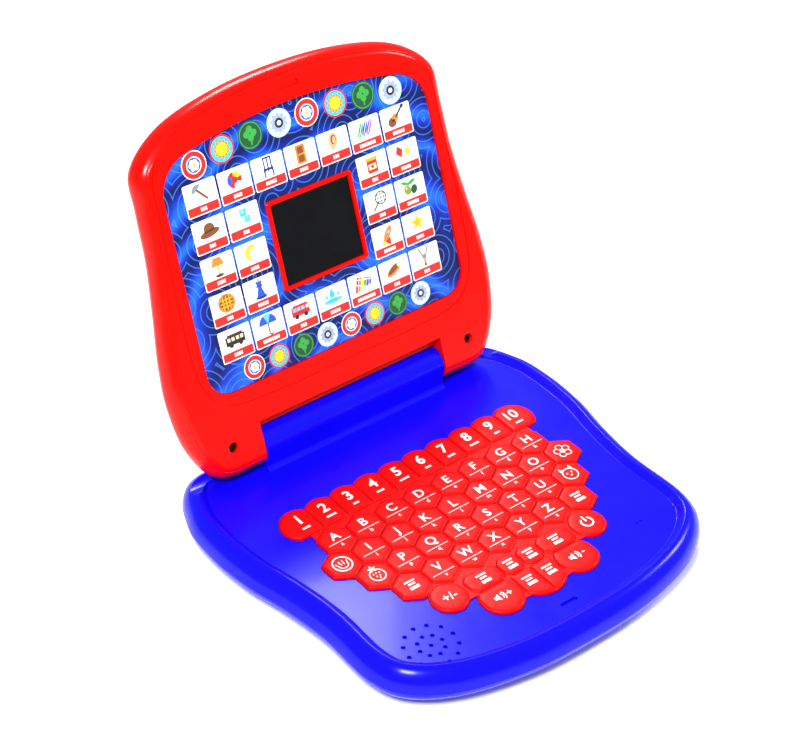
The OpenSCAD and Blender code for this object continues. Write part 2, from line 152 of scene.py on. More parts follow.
def stepToward(piece, x, y, reach, section):
    # like stepIn, but each ring is drawn in towards a centre, which keeps small corners clean
    takeHold(piece)
    bpy.ops.object.mode_set(mode="EDIT")
    bpy.ops.mesh.select_mode(type="FACE")
    bpy.ops.mesh.select_all(action="SELECT")
    for (inset0, height0), (inset1, height1) in zip(section, section[1:]):
        move = {"value": (0, 0, (height1 - height0) * mm)}
        bpy.ops.mesh.extrude_region_move(TRANSFORM_OT_translate=move)
        size = (reach - inset1) / (reach - inset0)
        bpy.ops.transform.resize(value=(size, size, 1), center_override=(x * mm, y * mm, 0))
    bpy.ops.object.mode_set(mode="OBJECT")
    return piece


def closeBottom(piece):
    # fills the open outline at the start of a stepped shape
    takeHold(piece)
    bpy.ops.object.mode_set(mode="EDIT")
    bpy.ops.mesh.select_mode(type="EDGE")
    bpy.ops.mesh.select_all(action="DESELECT")
    bpy.ops.mesh.select_non_manifold()
    bpy.ops.mesh.edge_face_add()
    bpy.ops.mesh.select_all(action="SELECT")
    bpy.ops.mesh.normals_make_consistent(inside=False)
    bpy.ops.object.mode_set(mode="OBJECT")
    return piece


def prism(points, low, high, edge=0.0, name="prism"):
    # outline stood up between two heights, with its top edge rounded off by edge
    section = [(0, 0), (0, high - low - edge)]
    if edge:
        section += [(edge * (1 - math.cos(a)), high - low - edge + edge * math.sin(a))
                    for a in (math.radians(30), math.radians(60), math.radians(90))]
    return closeBottom(stepIn(face(points, low, name=name), section))


def block(low, high):
    bpy.ops.object.select_all(action="DESELECT")
    size = [(b - a) * mm for a, b in zip(low, high)]
    middle = [(a + b) / 2 * mm for a, b in zip(low, high)]
    bpy.ops.mesh.primitive_cube_add(size=1)
    return place(bpy.context.object, Matrix.Translation(middle) @ Matrix.Diagonal((*size, 1)))


def roundBar(r, start, end, along="Z", corners=64):
    # cylinder between two points that share two coordinates
    start, end = Vector(start) * mm, Vector(end) * mm
    bpy.ops.object.select_all(action="DESELECT")
    bpy.ops.mesh.primitive_cylinder_add(vertices=corners, radius=r * mm, depth=(end - start).length)
    turn = {"X": Matrix.Rotation(math.pi / 2, 4, "Y"), "Z": Matrix.Identity(4)}[along]
    return place(bpy.context.object, Matrix.Translation((start + end) / 2) @ turn)


def mirrored(half):
    return half + [(-x, y) for x, y in reversed(half) if x > 0]


def catmull(a, b, c, d, t):
    return tuple(0.5 * (2 * q + (r - p) * t + (2 * p - 5 * q + 4 * r - s) * t ** 2
                        + (3 * q - p - 3 * r + s) * t ** 3) for p, q, r, s in zip(a, b, c, d))


def smoothLoop(points, steps=10):
    n = len(points)
    return [catmull(points[i - 1], points[i], points[(i + 1) % n], points[(i + 2) % n], k / steps)
            for i in range(n) for k in range(steps)]


def smoothSection(points, steps=3):
    ends = [points[0]] + points + [points[-1]]
    curve = [catmull(*ends[i:i + 4], k / steps) for i in range(len(points) - 1) for k in range(steps)]
    return curve + [points[-1]]


def arc(x, y, r, start, end, steps=8):
    angles = [math.radians(start + (end - start) * i / steps) for i in range(steps + 1)]
    return [(x + r * math.cos(a), y + r * math.sin(a)) for a in angles]


def circle(x, y, r, corners=48):
    return arc(x, y, r, 90, 450, corners)[:-1]


def rounded(corners, r, steps=5):
    # polygon, listed anticlockwise, with each corner rounded
    points = []
    for i, corner in enumerate(corners):
        before, at, after = (Vector(corners[j % len(corners)]) for j in (i - 1, i, i + 1))
        a, b = (before - at).normalized(), (after - at).normalized()
        half = a.angle(b) / 2
        middle = at + (a + b).normalized() * r / math.sin(half)
        first = at + a * r / math.tan(half) - middle
        last = at + b * r / math.tan(half) - middle
        swing = math.remainder(math.atan2(last.y, last.x) - math.atan2(first.y, first.x), math.tau)
        start = math.atan2(first.y, first.x)
        points += [(middle.x + r * math.cos(start + swing * k / steps),
                    middle.y + r * math.sin(start + swing * k / steps)) for k in range(steps + 1)]
    return points


def rectangle(x, y, w, h, r=0.5, steps=4):
    corners = [(x - w / 2, y - h / 2), (x + w / 2, y - h / 2), (x + w / 2, y + h / 2),
               (x - w / 2, y + h / 2)]
    return rounded(corners, r, steps)


def linear(hexColour):
    channels = [int(hexColour[i:i + 2], 16) / 255 for i in (0, 2, 4)]
    return [c / 12.92 if c <= 0.04045 else ((c + 0.055) / 1.055) ** 2.4 for c in channels] + [1]


def addNode(material, kind, inputs={}, links={}, **settings):
    made = material.node_tree.nodes.new(kind)
    for name, value in settings.items():
        setattr(made, name, value)
    for name, value in inputs.items():
        made.inputs[name].default_value = value
    for name, (source, output) in links.items():
        material.node_tree.links.new(source.outputs[output], made.inputs[name])
    return made


def newMaterial(name, **shaderValues):
    material = bpy.data.materials.new(name)
    material.use_nodes = True
    shader = material.node_tree.nodes["Principled BSDF"]
    for socket, value in shaderValues.items():
        shader.inputs[socket.replace("_", " ")].default_value = value
    return material, shader


def link(material, source, output, target, socket):
    material.node_tree.links.new(source.outputs[output], target.inputs[socket])


def variedColour(material, shader, darker, lighter, patch, coords):
    # two close colours in soft patches, patch millimetres across
    noise = addNode(material, "ShaderNodeTexNoise", {"Scale": 1 / (patch * mm), "Detail": 2.0},
                    {"Vector": coords})
    ramp = addNode(material, "ShaderNodeValToRGB", links={"Fac": (noise, "Fac")})
    for element, position, colour in zip(ramp.color_ramp.elements, (0.35, 0.65), (darker, lighter)):
        element.position = position
        element.color = linear(colour)
    link(material, ramp, "Color", shader, "Base Color")


def grain(material, shader, size, depth, coords, strength):
    # bump with grains of that size and depth in millimetres
    noise = addNode(material, "ShaderNodeTexNoise", {"Scale": 1 / (size * mm)}, {"Vector": coords})
    bump = addNode(material, "ShaderNodeBump", {"Strength": strength, "Distance": depth * mm},
                   {"Height": (noise, "Fac")})
    link(material, bump, "Normal", shader, "Normal")
    return noise


def roughnessFrom(material, shader, noise, low, high):
    spread = addNode(material, "ShaderNodeMapRange", {"To Min": low, "To Max": high},
                     {"Value": (noise, "Fac")})
    link(material, spread, "Result", shader, "Roughness")


def mouldedAbs(name, darker, lighter):
    # gloss moulded ABS: a mirror-like skin with a slow ripple from the mould and faint smears
    material, shader = newMaterial(name, IOR=1.52, Specular_IOR_Level=0.12, Coat_Weight=0.04,
                                   Coat_Roughness=0.06)
    coords = (addNode(material, "ShaderNodeTexCoord"), "Object")
    variedColour(material, shader, darker, lighter, 45, coords)
    grain(material, shader, 9, 0.02, coords, 0.25)
    smears = addNode(material, "ShaderNodeTexNoise", {"Scale": 1 / (18 * mm), "Detail": 5.0},
                     {"Vector": coords})
    roughnessFrom(material, shader, smears, 0.16, 0.27)
    return material


def mouldedSilicone(name, darker, lighter):
    # satin silicone rubber: soft broad highlights and a fine spark-eroded grain of about 0.3 mm
    material, shader = newMaterial(name, IOR=1.43, Specular_IOR_Level=0.14)
    coords = (addNode(material, "ShaderNodeTexCoord"), "Object")
    variedColour(material, shader, darker, lighter, 14, coords)
    fine = grain(material, shader, 0.35, 0.03, coords, 0.35)
    roughnessFrom(material, shader, fine, 0.3, 0.46)
    return material


def screenInk(name, colour):
    # screen-printed ink: flat, slightly uneven and a little less glossy than the plastic under it
    material, shader = newMaterial(name, IOR=1.5)
    coords = (addNode(material, "ShaderNodeTexCoord"), "Object")
    shade = "".join(f"{int(int(colour[i:i + 2], 16) * 0.93):02x}" for i in (0, 2, 4))
    variedColour(material, shader, shade, colour, 1.2, coords)
    fine = grain(material, shader, 0.3, 0.01, coords, 0.3)
    roughnessFrom(material, shader, fine, 0.34, 0.46)
    return material


def platedSteel():
    # zinc-plated steel: grey, with fine turning marks under a thin bright plating
    material, shader = newMaterial("zincPlatedSteel", Metallic=1.0)
    coords = (addNode(material, "ShaderNodeTexCoord"), "Object")
    variedColour(material, shader, "8f9296", "c4c7ca", 1.5, coords)
    fine = grain(material, shader, 0.2, 0.02, coords, 0.3)
    roughnessFrom(material, shader, fine, 0.22, 0.42)
    return material


def plainSurface(name, darker, lighter, size, roughness, metallic=0.0):
    # small pieces: board lacquer, card, cell jackets, rubber feet, wire sleeves and blackened screws
    material, shader = newMaterial(name, Metallic=metallic)
    coords = (addNode(material, "ShaderNodeTexCoord"), "Object")
    variedColour(material, shader, darker, lighter, size, coords)
    fine = grain(material, shader, size / 6, 0.03, coords, 0.3)
    roughnessFrom(material, shader, fine, roughness - 0.08, roughness + 0.08)
    return material


def printedBoard():
    # glossy printed styrene: deep blue ground with lighter swirls and thin rings
    material, shader = newMaterial("printedStyreneBlue", IOR=1.55, Specular_IOR_Level=0.3, Roughness=0.25)
    coords = addNode(material, "ShaderNodeTexCoord")
    flat = addNode(material, "ShaderNodeMapping", {"Location": hinge, "Rotation": (lidTilt, 0, 0)},
                   {"Vector": (coords, "Object")}, vector_type="TEXTURE")
    swirls = addNode(material, "ShaderNodeTexWave",
                     {"Scale": 1 / (80 * mm), "Distortion": 9.0, "Detail": 2.0, "Detail Scale": 1.2},
                     {"Vector": (flat, "Vector")}, wave_type="RINGS", rings_direction="SPHERICAL")
    ground = addNode(material, "ShaderNodeValToRGB", links={"Fac": (swirls, "Fac")})
    stops = [(0.0, "06104e"), (0.45, "0a1f86"), (0.75, "0e34b0"), (1.0, "1a5ad8")]
    while len(ground.color_ramp.elements) < len(stops):
        ground.color_ramp.elements.new(0.5)
    for element, (position, colour) in zip(ground.color_ramp.elements, stops):
        element.position = position
        element.color = linear(colour)
    cells = addNode(material, "ShaderNodeTexVoronoi", {"Scale": 1 / (26 * mm), "Randomness": 0.8},
                    {"Vector": (flat, "Vector")}, feature="F1", voronoi_dimensions="2D")
    rings = addNode(material, "ShaderNodeMath", {1: 44.0}, {0: (cells, "Distance")}, operation="MULTIPLY")
    bands = addNode(material, "ShaderNodeMath", links={0: (rings, "Value")}, operation="SINE")
    thin = addNode(material, "ShaderNodeMapRange", {"From Min": 0.8, "From Max": 0.95, "To Max": 0.45},
                   {"Value": (bands, "Value")})
    mixed = addNode(material, "ShaderNodeMix", links={"Factor": (thin, "Result"), 6: (ground, "Color")},
                    data_type="RGBA")
    mixed.inputs[7].default_value = linear("3f8ff5")
    material.node_tree.links.new(mixed.outputs[2], shader.inputs["Base Color"])
    return material


blueAbs = mouldedAbs("mouldedAbsBlue", "0803c8", "0b04da")
redAbs = mouldedAbs("mouldedAbsRed", "d40500", "e00700")
redSilicone = mouldedSilicone("mouldedSiliconeRed", "ba0202", "c80303")
whiteInk = screenInk("screenInkWhite", "f6f6f2")
steel = platedSteel()
blackSteel = plainSurface("blackOxideSteel", "161616", "2c2c2e", 1.5, 0.35, 0.9)
boardGreen = plainSurface("lacqueredEpoxyBoard", "0d4a22", "12622e", 4, 0.35)
darkCard = plainSurface("blackPaperCone", "0b0b0c", "191919", 2, 0.7)
cellJacket = plainSurface("printedCellJacket", "a87a1c", "d2a23a", 6, 0.3, 0.7)
footRubber = plainSurface("blackNitrileRubber", "101011", "1d1d1e", 1.5, 0.75)
wireSleeve = plainSurface("whitePvcSleeve", "c9c9c4", "e2e2dd", 3, 0.45)
print("materials made")

base = {
    # half outline from the middle of the front round the right side to the middle of the back
    "outline": [(0, -201.7), (38.8, -199.8), (75.8, -191), (100.3, -175.8), (109.6, -155.5),
                (109.4, -119.4), (112.9, -91.3), (118.2, -66.2), (119.9, -38.5), (116.1, -12.8),
                (100.7, 10.4), (66.5, 12), (0, 12)],
    # (inset, height) over the seam, up the rim and down to the sunken deck
    "rim": [(0, 0), (0.7, 3.6), (2, 6.6), (4, 9.1), (6.2, 10.8), (8.5, 11.5), (9.6, 11.3), (11.2, 10.3),
            (12.4, 9.0), (13.5, 8.4)],
    # the same downwards to the underside
    "tray": [(0, 0), (0.8, 3.2), (2.9, 6.2), (5.6, 9.2), (8.2, 11.7), (11, 13.2)],
    "seam": 14.8, "seamGap": 0.25, "wall": 2.2, "deck": 23.3,
    "speaker": (-75.7, -163.3), "holeR": 1.25, "holeRings": [(0, 1), (7, 8), (14, 12)],
    "catch": (0, -181), "catchSize": (11, 2.6),
    # two pairs of moulded pips on the deck
    "pips": [(-31, -29.5), (71.1, -158.1)], "pipR": 0.6, "pipRise": 0.5, "pipSpread": 1.4,
    "screws": [(40, -184), (97, -95), (92, -10)], "screwR": 3.3,
    "feet": [(84, -150), (90, -22)], "footR": 7.1,
    # corners of the battery box, of the room in it, of the door's seat and of the right hinge lug's slot
    "bayWalls": ((-27.8, -43.1, 2.5), (27.8, -5.4, 16.8)), "bayRoom": ((-26.2, -41.5, 0), (26.2, -7, 15.2)),
    "doorSeat": ((-27.8, -49.4, 0), (27.8, -5.6, 3.4)), "lug": 18, "lugHalf": 4.5,
}
barrel = {"r": 9.1, "halfWidth": 61.7, "fillet": 3.4, "legRoom": 12.6, "legEnd": 76, "hubRoom": 11.2,
          "hubEnd": 108}
axisZ = hinge.z / mm
baseLoop = smoothLoop(mirrored(base["outline"]))


def barrelProfile():
    # closed outline across the barrel: X of the outline is the base's Y, Y of the outline is height
    foot, r = base["deck"] + barrel["fillet"], barrel["r"]
    front = [(-r - barrel["fillet"] * (1 - math.cos(a)), foot - barrel["fillet"] * math.sin(a))
             for a in (math.radians(15 * i) for i in range(7))]
    crown = [(r * math.cos(a), axisZ + r * math.sin(a)) for a in (math.radians(6 * i) for i in range(31))]
    low = base["deck"] - 1.6
    return [(r, low)] + crown + front + [(-r - barrel["fillet"], low)]


def deckShell():
    shell = stepIn(face(baseLoop, base["seam"] + base["seamGap"] / 2, name="deckMoulding"),
                   smoothSection(base["rim"]))
    modify(shell, "SOLIDIFY", thickness=base["wall"] * mm, offset=-1, use_even_offset=True)
    bar = prism(barrelProfile(), 0, 2 * barrel["halfWidth"], 0.7, name="barrel")
    # stand the profile up across the toy: outline X becomes Y, outline Y becomes Z, height becomes X
    place(bar, Matrix(((0, 0, 1, -barrel["halfWidth"] * mm), (1, 0, 0, 0), (0, 1, 0, 0), (0, 0, 0, 1))))
    carve(shell, bar, "UNION")
    for side in (-1, 1):
        for r, end in ((barrel["hubRoom"], barrel["hubEnd"]), (barrel["legRoom"], barrel["legEnd"])):
            start = (side * (barrel["halfWidth"] + 0.02), 0, axisZ)
            carve(shell, roundBar(r, start, (side * end, 0, axisZ), "X"))
    holes = []
    for r, count in base["holeRings"]:
        for i in range(count):
            a = math.tau * i / count
            x, y = base["speaker"][0] + r * math.cos(a), base["speaker"][1] + r * math.sin(a)
            holes.append(roundBar(base["holeR"], (x, y, 18), (x, y, 26), corners=20))
    carve(shell, joined(holes, "speakerHoles"))
    x, y = base["catch"]
    carve(shell, prism(rectangle(x, y, *base["catchSize"], 1.25), 22.1, 30))
    pips = []
    for x, y in base["pips"]:
        for px in (x - base["pipSpread"], x + base["pipSpread"]):
            foot, head = (px, y, base["deck"] - 1), (px, y, base["deck"] + base["pipRise"])
            pips.append(roundBar(base["pipR"], foot, head, corners=24))
    carve(shell, joined(pips, "pips"), "UNION")
    return shell


def keypadShape(grow, low, high, fillers):
    # the outlines of all the keys, grown alike, as one piece, with fillers in the valleys between rows
    shapes = [prism(key["outline"](grow), low, high) for key in keys]
    shapes += [prism(rectangle(x, y, w, h, 1), low + 0.03, high + 0.03) for x, y, w, h in fillers]
    return joined(shapes, "keypadShape")


def traySheet():
    shell = stepIn(face(baseLoop, base["seam"] - base["seamGap"] / 2, up=False, name="trayMoulding"),
                   smoothSection(base["tray"]))
    modify(shell, "SOLIDIFY", thickness=base["wall"] * mm, offset=-1, use_even_offset=True)
    carve(shell, block(*base["bayWalls"]), "UNION")
    carve(shell, block(*base["bayRoom"]))
    carve(shell, block(*base["doorSeat"]))
    for side in (-1, 1):
        x, half = side * base["lug"], base["lugHalf"]
        carve(shell, block((x - half, -6.5, 0), (x + half, -1.4, 5)))
        for x, y in base["screws"]:
            carve(shell, roundBar(base["screwR"], (side * x, y, 0), (side * x, y, 6), corners=32))
        for x, y in base["feet"]:
            carve(shell, roundBar(base["footR"], (side * x, y, 0), (side * x, y, 2.1)))
    return shell


keypad = {
    "pitch": 19.0, "gap": 0.36, "rowA": -78.5, "centre": 2.3, "top": 25.2, "bottom": 20.6, "webTop": 24.2,
    "fixedBottom": 19.4, "corner": 1.6, "numberPitch": 16.4, "numberRow": 23, "numberR": 11.6,
    "numberLow": 9.2,
    # (inset, height over the key's side) of the soft shoulder
    "shoulder": [(0, 0), (0.1, 0.28), (0.36, 0.56), (0.85, 0.78), (1.6, 0.9), (3.0, 0.97), (4.8, 1.0)],
    "fillers": [(0, -68, 150, 8), (0, -139.5, 101, 22), (0, -158.5, 51, 16)],
    # how far each opening is grown past the keys, in the deck and in the web, and the web's own edge
    "deckGrow": 0.6, "webGrow": 0.12, "webEdge": 0.35,
    # lower rows, with Y counted down from the letter A's row
    "roundX": 47.2, "roundDown": 64.8, "roundR": 10.2, "volumeX": 25.5, "volumeR": 12, "blockDown": 65,
    "blockH": 13.2, "wideX": 24.6, "wideW": 22, "narrowX": 6.75, "narrowW": 13, "lastDown": 80,
    "lastTop": 7.6, "scallopR": 16,
}
rowStep = keypad["pitch"] * math.sqrt(3) / 2


def hexOutline(x, y):
    def outline(grow):
        r = (keypad["pitch"] - keypad["gap"] + 2 * grow) / math.sqrt(3)
        angles = [math.radians(30 + 60 * i) for i in range(6)]
        return rounded([(x + r * math.cos(a), y + r * math.sin(a)) for a in angles], keypad["corner"])
    return outline


def roundOutline(x, y, r):
    return lambda grow: circle(x, y, r + grow)


def clippedOutline(x, y, r, left, right, low, high):
    # a circle cut off by straight sides at those distances from its centre
    def outline(grow):
        points = []
        for px, py in circle(0, 0, r + grow, 96):
            points.append((min(max(px, -left - grow), right + grow),
                           min(max(py, -low - grow), high + grow)))
        kept = [p for i, p in enumerate(points) if math.dist(p, points[i - 1]) > 0.25]
        return [(x + px, y + py) for px, py in kept]
    return outline


def cutBlockOutline(x, y, w, h):
    def outline(grow):
        a, b, cut = w / 2 + grow, h / 2 + grow, 3
        corners = [(-a, -b + cut), (-a + cut, -b), (a - cut, -b), (a, -b + cut), (a, b - cut),
                   (a - cut, b), (-a + cut, b), (-a, b - cut)]
        return rounded([(x + px, y + py) for px, py in corners], 1.2, 3)
    return outline


def keyList():
    made = []

    def add(kind, x, y, outline, node=None, text=None):
        made.append({"node": node, "kind": kind, "text": text, "x": x, "y": y, "outline": outline})

    half = (keypad["numberPitch"] - keypad["gap"]) / 2
    for n in range(1, 11):
        x, y = (n - 5.5) * keypad["numberPitch"], keypad["rowA"] + keypad["numberRow"]
        left, right = (30 if n == 1 else half), (30 if n == 10 else half)
        shape = clippedOutline(x, y, keypad["numberR"], left, right, keypad["numberLow"], 30)
        add("number", x, y, shape, f"key_{n}", str(n))
    for r, letters in enumerate(("abcdefgh", "ijklmno", "pqrstu", "vwxyz")):
        y = keypad["rowA"] - r * rowStep + keypad["centre"]
        for i, letter in enumerate(letters):
            x = (i - (len(letters) - 1) / 2) * keypad["pitch"]
            add("letter", x, y, hexOutline(x, y), f"key_{letter}", letter)
    low = keypad["rowA"]
    roundY, blockY, lastY = (low - keypad[down] for down in ("roundDown", "blockDown", "lastDown"))
    roundX = keypad["roundX"]
    add("power", roundX, roundY, roundOutline(roundX, roundY, keypad["roundR"]), "key_power")
    for side, node in ((-1, "key_volume_up"), (1, "key_volume_down")):
        edges = (11.6, 12.4) if side < 0 else (12.4, 11.6)
        x = side * keypad["volumeX"]
        shape = clippedOutline(x, lastY, keypad["volumeR"], *edges, 30, keypad["lastTop"])
        add(node, x, lastY, shape, node)
    for r, offset, kinds in ((1, 4, ("melon", "flower")), (2, 3.5, ("berry", "cat")),
                             (3, 3, ("mode", "mode"))):
        y = low - r * rowStep + keypad["centre"]
        for side, kind in zip((-1, 1), kinds):
            x = side * offset * keypad["pitch"]
            add(kind, x, y, hexOutline(x, y))
    add("plusMinus", -roundX, roundY, roundOutline(-roundX, roundY, keypad["roundR"]))
    for side in (-1, 1):
        wide, narrow = side * keypad["wideX"], side * keypad["narrowX"]
        add("mode", wide, blockY, cutBlockOutline(wide, blockY, keypad["wideW"], keypad["blockH"]))
        add("mode", narrow, blockY, cutBlockOutline(narrow, blockY, keypad["narrowW"], keypad["blockH"]))
        add("mode", narrow, lastY, scallopOutline(narrow, lastY, side))
    return made


def scallopOutline(x, y, side):
    # half of a wide shallow scallop, cut off square at its sides
    def outline(grow):
        points = []
        half, top = keypad["narrowW"] / 2 + grow, keypad["lastTop"] + grow
        for px, py in circle(-side * keypad["narrowX"], 3, keypad["scallopR"] + grow, 128):
            points.append((min(max(px, -half), half), min(max(py, -14 - grow), top)))
        kept = [p for i, p in enumerate(points) if math.dist(p, points[i - 1]) > 0.25]
        return [(x + px, y + py) for px, py in kept]
    return outline


keys = keyList()


def oval(x, y, w, h, turn=0, corners=24):
    a = math.radians(turn)
    points = circle(0, 0, 1, corners)
    return [(x + px * w / 2 * math.cos(a) - py * h / 2 * math.sin(a),
             y + px * w / 2 * math.sin(a) + py * h / 2 * math.cos(a)) for px, py in points]


def strip(x, y, w, h, turn=0):
    a = math.radians(turn)
    corners = ((-w / 2, -h / 2), (w / 2, -h / 2), (w / 2, h / 2), (-w / 2, h / 2))
    return [(x + px * math.cos(a) - py * math.sin(a), y + px * math.sin(a) + py * math.cos(a))
            for px, py in corners]


def taper(x, y, low, high, h, turn=0):
    # a strip with different widths at its foot and its head
    a = math.radians(turn)
    corners = ((-low / 2, -h / 2), (low / 2, -h / 2), (high / 2, h / 2), (-high / 2, h / 2))
    return [(x + px * math.cos(a) - py * math.sin(a), y + px * math.sin(a) + py * math.cos(a))
            for px, py in corners]


def spiky(x, y, r, inner, tips, turn=0):
    return [(x + (r if i % 2 == 0 else inner) * math.cos(math.radians(90 + turn + 180 * i / tips)),
             y + (r if i % 2 == 0 else inner) * math.sin(math.radians(90 + turn + 180 * i / tips)))
            for i in range(2 * tips)]


def band(x, y, r, width, start, end, steps=20):
    outer = arc(x, y, r + width / 2, start, end, steps)
    inner = arc(x, y, r - width / 2, start, end, steps)
    return outer + inner[::-1]


def printed(points, ink, layer=0, thickness=0.06):
    # thin closed layer of ink; later layers lie on earlier ones
    low = layer * 0.02
    shape = face(points, low, name="print")
    takeHold(shape)
    bpy.ops.object.mode_set(mode="EDIT")
    bpy.ops.mesh.select_all(action="SELECT")
    bpy.ops.mesh.extrude_region_move(TRANSFORM_OT_translate={"value": (0, 0, thickness * mm)})
    bpy.ops.mesh.select_all(action="SELECT")
    bpy.ops.mesh.normals_make_consistent(inside=False)
    bpy.ops.object.mode_set(mode="OBJECT")
    shape.data.materials.append(ink)
    return shape


def lettering(words, x, y, size, heavy):
    bpy.ops.object.select_all(action="DESELECT")
    bpy.ops.object.text_add()
    text = bpy.context.object
    text.data.body, text.data.size, text.data.offset = words, size * mm, heavy * mm
    text.data.align_x, text.data.align_y = "CENTER", "CENTER"
    text.data.resolution_u = 4
    takeHold(text)
    bpy.ops.object.convert(target="MESH")
    letter = bpy.context.object
    across, along = ([v.co[i] for v in letter.data.vertices] for i in (0, 1))
    middleX, middleY = (min(across) + max(across)) / 2, (min(along) + max(along)) / 2
    place(letter, Matrix.Translation((x * mm - middleX, y * mm - middleY, 0)))
    giveFinish(letter, whiteInk)
    return letter


def flatPrint(points):
    shape = face(points, 0, name="print")
    shape.data.materials.append(whiteInk)
    return shape


def tinyBars(x, y, count, w=0.95, h=1.25):
    # plain blocks in the place of a word
    return [flatPrint(strip(x + (i - (count - 1) / 2) * (w + 0.3), y, w, h)) for i in range(count)]


def legend(key):
    x, y, kind = key["x"], key["y"], key["kind"]
    if kind == "letter":
        # capital, a line with enough points to follow the key's dome, and the small letter
        line = ([(x + (i - 10) * 0.69, y - 2.44) for i in range(21)]
                + [(x + (10 - i) * 0.69, y - 2.16) for i in range(21)])
        return [lettering(key["text"].upper(), x, y + 2.7, 8.0, 0.12), flatPrint(line),
                lettering(key["text"], x, y - 4.7, 3.6, 0.03)]
    if kind == "number":
        number, length = lettering(key["text"], x, y + 3.0, 9.6, 0.22), 3 + int(key["text"]) % 3
        return [number] + tinyBars(x, y - 4.3, length)
    if kind == "power":
        return [flatPrint(band(x, y, 3.3, 0.9, 125, 415)), flatPrint(strip(x, y + 2.6, 0.9, 4.2))]
    if kind == "plusMinus":
        return [lettering("+/-", x, y, 7.5, 0.08)]
    if kind in ("key_volume_up", "key_volume_down"):
        sign = "+" if kind == "key_volume_up" else "-"
        return [flatPrint(strip(x - 4.2, y - 0.5, 1.6, 2.2)),
                flatPrint(taper(x - 2.6, y - 0.5, 2.2, 4.8, 1.7, -90)),
                flatPrint(band(x - 2, y - 0.5, 2.4, 0.5, -45, 45, 8)),
                flatPrint(band(x - 2, y - 0.5, 3.7, 0.5, -45, 45, 8)),
                lettering(sign, x + 4.4, y - 0.5, 6, 0.1)]
    if kind == "melon":
        return ([flatPrint(band(x, y, 5.2, 0.7, 0, 360, 40)), flatPrint(band(x, y, 3.2, 0.5, 200, 340))]
                + [flatPrint(strip(x - 3 + 2 * i, y + 1.2 - abs(i - 1.5) * 0.8, 0.5, 3.2, 12 * (1.5 - i)))
                   for i in range(4)])
    if kind == "berry":
        seeds = ((-1.8, 0.6), (0, 0.9), (1.8, 0.6), (-1, -1.4), (1, -1.4), (0, -3))
        return ([flatPrint(spiky(x, y + 4.4, 2.6, 1.2, 5)), flatPrint(band(x, y - 0.6, 4.2, 0.6, 0, 360, 40))]
                + [flatPrint(oval(x + px, y + py, 0.7, 1.0)) for px, py in seeds])
    if kind == "flower":
        petals = arc(x, y, 3.1, 18, 306, 4)
        return ([flatPrint(band(px, py, 1.9, 0.5, 0, 360, 24)) for px, py in petals]
                + [flatPrint(oval(x, y, 1.8, 1.8))])
    if kind == "cat":
        return ([flatPrint(band(x, y - 0.4, 4.3, 0.55, 0, 360, 40))]
                + [flatPrint(taper(x + s * 3.1, y + 4.4, 2.6, 0.2, 2.8, -s * 18)) for s in (-1, 1)]
                + [flatPrint(oval(x + s * 1.6, y + 0.5, 0.9, 1.2)) for s in (-1, 1)]
                + [flatPrint(oval(x, y - 1.5, 1.3, 0.8))])
    return (tinyBars(x, y + 2.6, 6, 0.8, 1.1) + tinyBars(x, y + 0.4, 4, 0.8, 1.1)
            + tinyBars(x, y - 2.4, 3, 1.7, 1.9))


def makeKey(key, number):
    bottom = keypad["bottom"] if key["node"] else keypad["fixedBottom"]
    side = keypad["top"] - keypad["shoulder"][-1][1] - bottom
    section = [(0, 0), (0, side)] + [(inset, side + rise) for inset, rise in keypad["shoulder"][1:]]
    body = face(key["outline"](0), bottom, name="key")
    stepToward(body, key["x"], key["y"], keypad["pitch"] / 2, section)
    closeBottom(body)
    body.data.materials.append(redSilicone)
    smooth(body, 50)
    ink = joined(legend(key), "ink")
    place(ink, Matrix.Translation((0, 0, 40 * mm)))
    modify(ink, "SHRINKWRAP", target=body, wrap_method="PROJECT", use_project_z=True,
           use_negative_direction=True, use_positive_direction=False, offset=0.05 * mm)
    modify(ink, "SOLIDIFY", thickness=0.09 * mm, offset=0)
    return joined([body, ink], f"keyCap_{number}")


def finish(piece, body, slot, *nodes):
    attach(piece, body)
    if nodes:
        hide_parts(*nodes)
    return piece


lid = {
    "outline": [(0, -8.6), (40, -9.2), (66, -10.2), (90.4, -8.2), (103.6, 11.4), (108.1, 37.5),
                (107, 61.6), (103.2, 86.9), (99.4, 115.7), (98.2, 142.5), (95.8, 164.4), (74.1, 181.1),
                (39.1, 189.5), (0, 191.9)],
    # (inset, height) over the front half, with a fine crease 4 mm inside the outline
    "front": [(0, 0), (0.12, 1.8), (0.5, 3.5), (1.1, 5.0), (2, 6.3), (3.1, 7.4), (4.4, 8.15), (4.7, 7.95),
              (5.1, 8.45), (6.2, 8.85), (7.5, 9.05)],
    "back": [(0, 0), (0.4, 2.5), (1.8, 5.2), (4.6, 7.6), (8.5, 8.6)],
    # a shallow sunken field on the back and a fine groove round the board on the front
    "backPanel": [(0, 16), (64, 16), (84, 25), (90, 42), (88, 70), (82, 110), (80, 140), (72, 160),
                  (40, 169), (0, 171)], "backPanelFloor": 8.15,
    "groove": [(0, 26.6), (50, 26.8), (76, 29.5), (88, 39), (93, 56), (93.5, 90), (92, 130), (88, 165),
               (60, 182), (0, 187.8)], "grooveWidth": 0.8, "grooveFloor": 8.7,
    "seamGap": 0.3, "wall": 5, "notchHalf": 62.3, "notchTop": 15, "notchStep": 2.6, "notchR": 10.2,
    "notchWall": 2.2, "screws": (81.1, 7.45), "screwR": 2.9, "screwFloor": 5.6, "pinR": 3.02, "pinEnd": 76,
    "catch": (0, 181), "catchSize": (14.5, 3.4), "catchFloor": 7.9,
}
board = {"halfWidth": 86.5, "low": 35.6, "top": 172.7, "bow": 333, "lowR": 14, "topR": 22, "floor": 7.0,
         "thick": 0.6}
